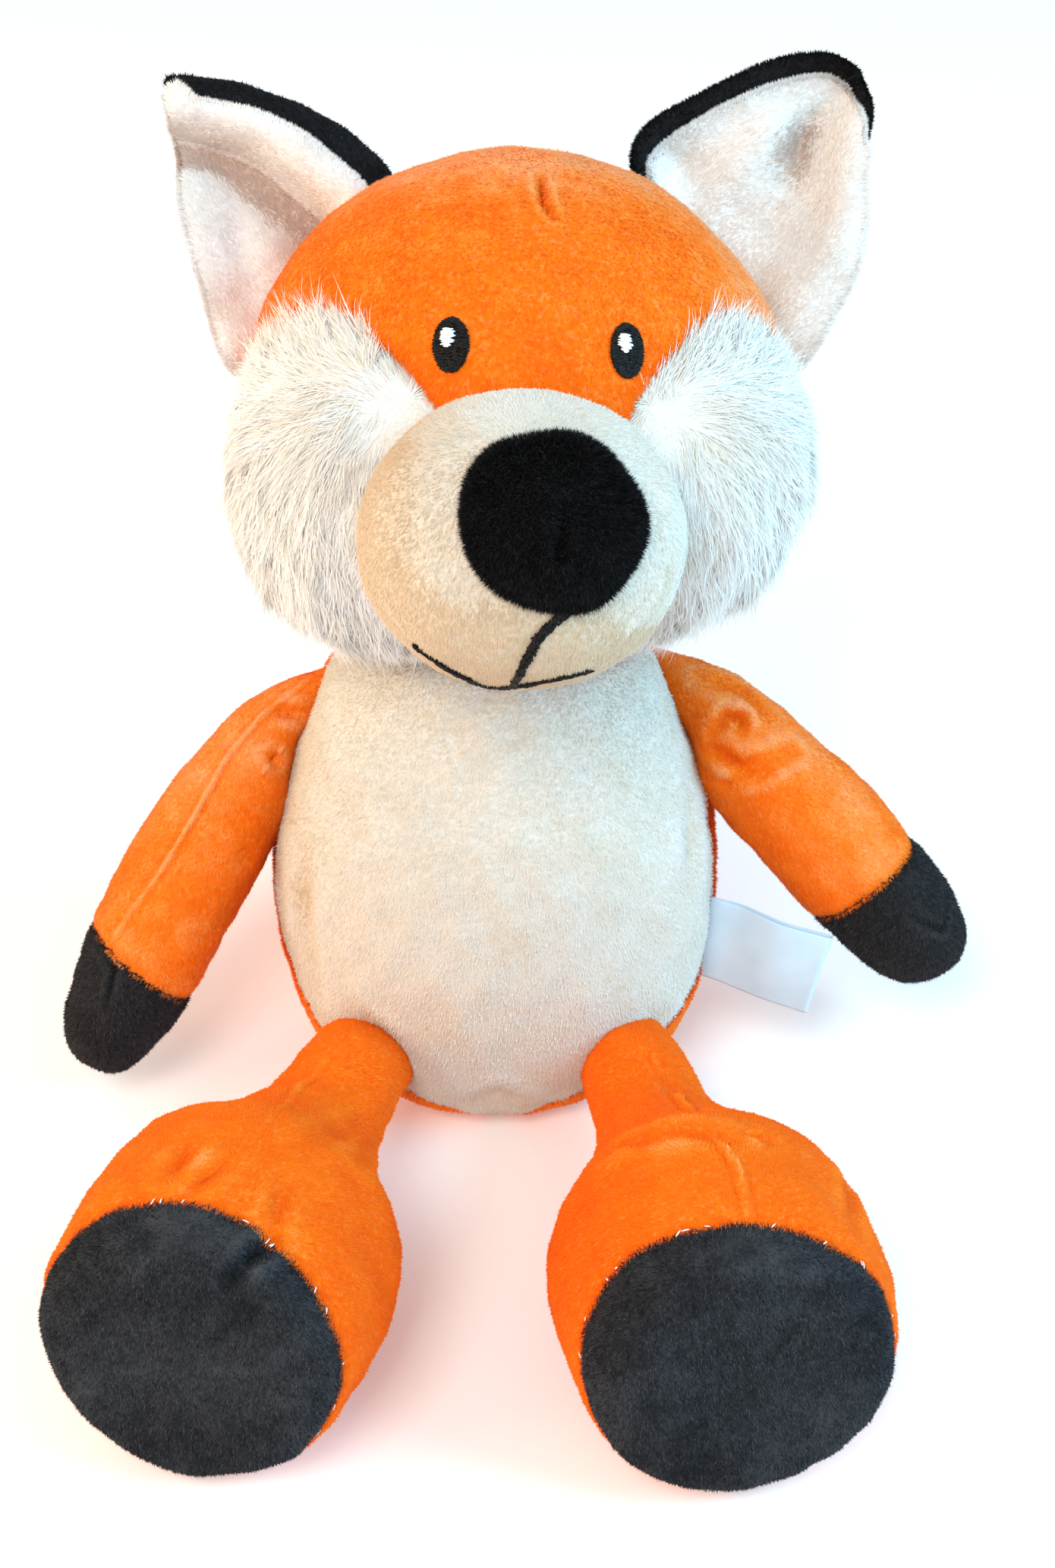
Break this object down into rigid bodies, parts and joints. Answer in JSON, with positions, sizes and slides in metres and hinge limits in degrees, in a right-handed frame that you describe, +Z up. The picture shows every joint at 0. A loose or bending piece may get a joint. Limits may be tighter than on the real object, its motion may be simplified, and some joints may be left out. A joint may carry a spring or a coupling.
{
  "type": "plush fox toy",
  "caption": "Sitting plush fox with stuffed body, turning head, floppy ears, swinging arms and legs, a tail and a bare ribbon loop in its side seam.",
  "frame": {"origin": "middle of the flat seat, on the surface that the fox sits on", "axes": "-Y the way the fox faces, +X its left side, +Z up"},
  "size_m": [0.2682, 0.3432, 0.2708],
  "materials": {
    "orange_plush": "short-pile orange plush with a soft nap",
    "cream_plush": "short-pile cream plush",
    "cheek_pile": "long white faux fur",
    "white_plush": "short-pile white plush",
    "black_plush": "short-pile black plush",
    "charcoal_plush": "short-pile charcoal plush",
    "black_thread": "satin-stitched black embroidery",
    "white_thread": "satin-stitched white embroidery",
    "satin_ribbon": "bare white satin ribbon",
    "stuffing": "white polyester fibre filling",
    "bean_cloth": "plain woven bag of plastic beans"
  },
  "bodies": {
    "torso": {"body_back": "orange_plush", "belly_panel": "cream_plush", "body_stuffing": "stuffing", "bean_pouch": "bean_cloth", "care_label": "satin_ribbon"},
    "head": {"head_cap": "orange_plush", "cheek_left": "cheek_pile", "cheek_right": "cheek_pile", "muzzle": "cream_plush", "nose": "black_plush", "eye_left": "black_thread", "eye_right": "black_thread", "eye_highlight_left": "white_thread", "eye_highlight_right": "white_thread", "mouth_stem": "black_thread", "mouth_smile": "black_thread", "head_stuffing": "stuffing"},
    "ear_left": {"ear_left_back": "black_plush", "ear_left_lining": "white_plush"},
    "ear_right": {"ear_right_back": "black_plush", "ear_right_lining": "white_plush"},
    "arm_left": {"arm_left_sleeve": "orange_plush", "arm_left_paw": "black_plush", "arm_left_stuffing": "stuffing"},
    "arm_right": {"arm_right_sleeve": "orange_plush", "arm_right_paw": "black_plush", "arm_right_stuffing": "stuffing"},
    "leg_left": {"leg_left_sleeve": "orange_plush", "leg_left_sole": "charcoal_plush", "leg_left_stuffing": "stuffing"},
    "leg_right": {"leg_right_sleeve": "orange_plush", "leg_right_sole": "charcoal_plush", "leg_right_stuffing": "stuffing"},
    "tail": {"tail_sleeve": "orange_plush", "tail_tip": "cream_plush", "tail_stuffing": "stuffing"}
  },
  "joints": [
    {"name": "head_turn", "type": "hinge", "parent": "torso", "child": "head", "pos_m": [0, 0.03988, 0.13505], "axis": [0, 0.309, 0.9511], "range_deg": [-30, 30]},
    {"name": "ear_left_flop", "type": "hinge", "parent": "head", "child": "ear_left", "pos_m": [0.06605, 0.08488, 0.21425], "axis": [-0.6545, 0.4286, 0.6229], "range_deg": [-15, 15]},
    {"name": "ear_right_flop", "type": "hinge", "parent": "head", "child": "ear_right", "pos_m": [-0.05146, 0.08031, 0.22174], "axis": [0.693, 0.4811, 0.537], "range_deg": [-15, 15]},
    {"name": "arm_left_swing", "type": "hinge", "parent": "torso", "child": "arm_left", "pos_m": [0.05726, 0.0297, 0.10641], "axis": [0.3661, -0.2923, -0.8835], "range_deg": [-45, 15]},
    {"name": "arm_right_swing", "type": "hinge", "parent": "torso", "child": "arm_right", "pos_m": [-0.05908, 0.02823, 0.10197], "axis": [0.3605, 0.293, 0.8856], "range_deg": [-45, 30]},
    {"name": "leg_left_lift", "type": "hinge", "parent": "torso", "child": "leg_left", "pos_m": [0.03871, -0.03512, 0.02513], "axis": [-0.8529, -0.5192, -0.0545], "range_deg": [0, 35]},
    {"name": "leg_right_lift", "type": "hinge", "parent": "torso", "child": "leg_right", "pos_m": [-0.03871, -0.03512, 0.02513], "axis": [-0.8529, 0.5192, 0.0545], "range_deg": [0, 35]},
    {"name": "tail_wag", "type": "hinge", "parent": "torso", "child": "tail", "pos_m": [0, 0.0647, 0.02895], "axis": [0, 0.3675, 0.93], "range_deg": [-40, 40]}
  ]
}
